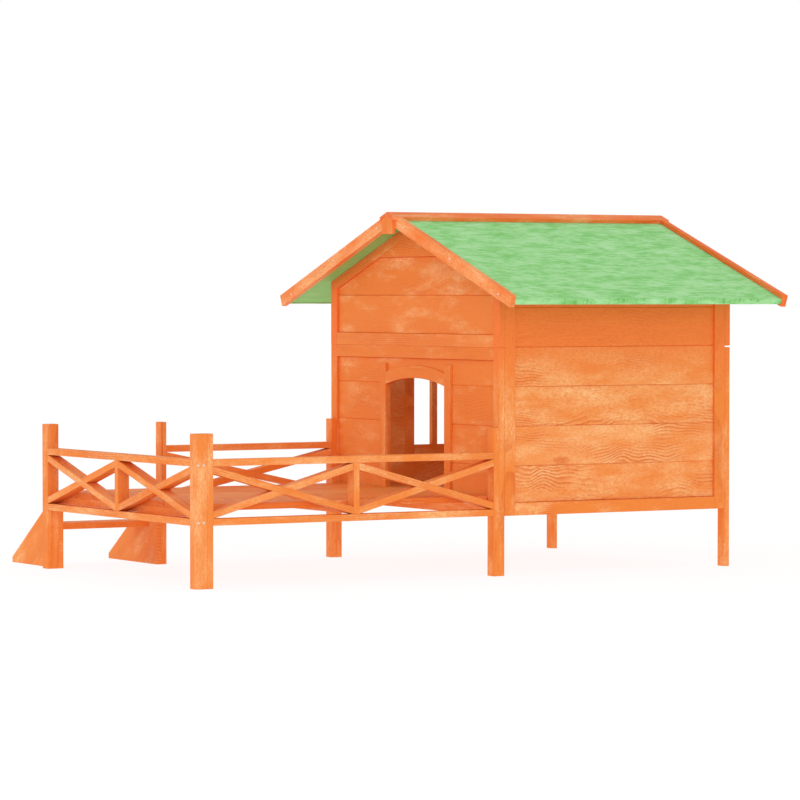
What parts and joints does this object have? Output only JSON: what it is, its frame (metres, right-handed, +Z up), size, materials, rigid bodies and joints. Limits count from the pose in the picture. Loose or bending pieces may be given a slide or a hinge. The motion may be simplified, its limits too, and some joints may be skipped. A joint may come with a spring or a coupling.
{
  "type": "dog kennel",
  "caption": "Raised timber dog kennel with a pitched felt roof, arched doorway, barred side window and a fenced porch reached by a side step.",
  "frame": {"origin": "on the ground, at the middle of the kennel's bounding box", "axes": "+Z up; the doorway and the porch face -Y; the steps and the barred window are on the -X side"},
  "size_m": [1.4876, 1.967, 1.0974],
  "materials": {
    "stained_timber": "orange stained planed softwood, satin",
    "green_stained_timber": "green stained roof board, matt",
    "roof_felt": "light green roofing felt, matt",
    "screw_steel": "zinc plated screw heads"
  },
  "bodies": {
    "root": {"apex_blocks": "stained_timber", "bargeboard_screws": "screw_steel", "deck_bearers": "stained_timber", "deck_planks": "stained_timber", "door_arch": "stained_timber", "door_jambs": "stained_timber", "fence_screws": "screw_steel", "floor_boards": "stained_timber", "floor_joists": "stained_timber", "front_bargeboards": "stained_timber", "front_fence_falling_braces": "stained_timber", "front_fence_mid_stile": "stained_timber", "front_fence_rails": "stained_timber", "front_fence_rising_braces": "stained_timber", "front_gable_boards": "stained_timber", "front_gable_rafters": "stained_timber", "front_gable_rail": "stained_timber", "front_gable_stiles": "stained_timber", "front_left_post": "stained_timber", "front_legs": "stained_timber", "front_right_post": "stained_timber", "front_stringer": "stained_timber", "front_wall_boards": "stained_timber", "front_wall_rails": "stained_timber", "gable_peaks": "stained_timber", "left_fence_end_stiles": "stained_timber", "left_fence_falling_braces": "stained_timber", "left_fence_rails": "stained_timber", "left_fence_rising_braces": "stained_timber", "left_wall_boards": "stained_timber", "left_wall_rails": "stained_timber", "left_wall_stiles": "stained_timber", "rear_bargeboards": "stained_timber", "rear_gable_boards": "stained_timber", "rear_gable_rafters": "stained_timber", "rear_gable_rail": "stained_timber", "rear_gable_stiles": "stained_timber", "rear_legs": "stained_timber", "rear_stringer": "stained_timber", "rear_wall_boards": "stained_timber", "rear_wall_rails": "stained_timber", "ridge_cap_left": "stained_timber", "ridge_cap_right": "stained_timber", "right_fence_end_stiles": "stained_timber", "right_fence_falling_braces": "stained_timber", "right_fence_mid_stile": "stained_timber", "right_fence_rails": "stained_timber", "right_fence_rising_braces": "stained_timber", "right_wall_boards": "stained_timber", "right_wall_rails": "stained_timber", "right_wall_stiles": "stained_timber", "roof_battens": "stained_timber", "roof_board_left": "green_stained_timber", "roof_board_right": "green_stained_timber", "roof_felt_left": "roof_felt", "roof_felt_right": "roof_felt", "stair_tread": "stained_timber", "window_bars": "stained_timber", "window_rails": "stained_timber", "window_stiles": "stained_timber"}
  },
  "joints": []
}
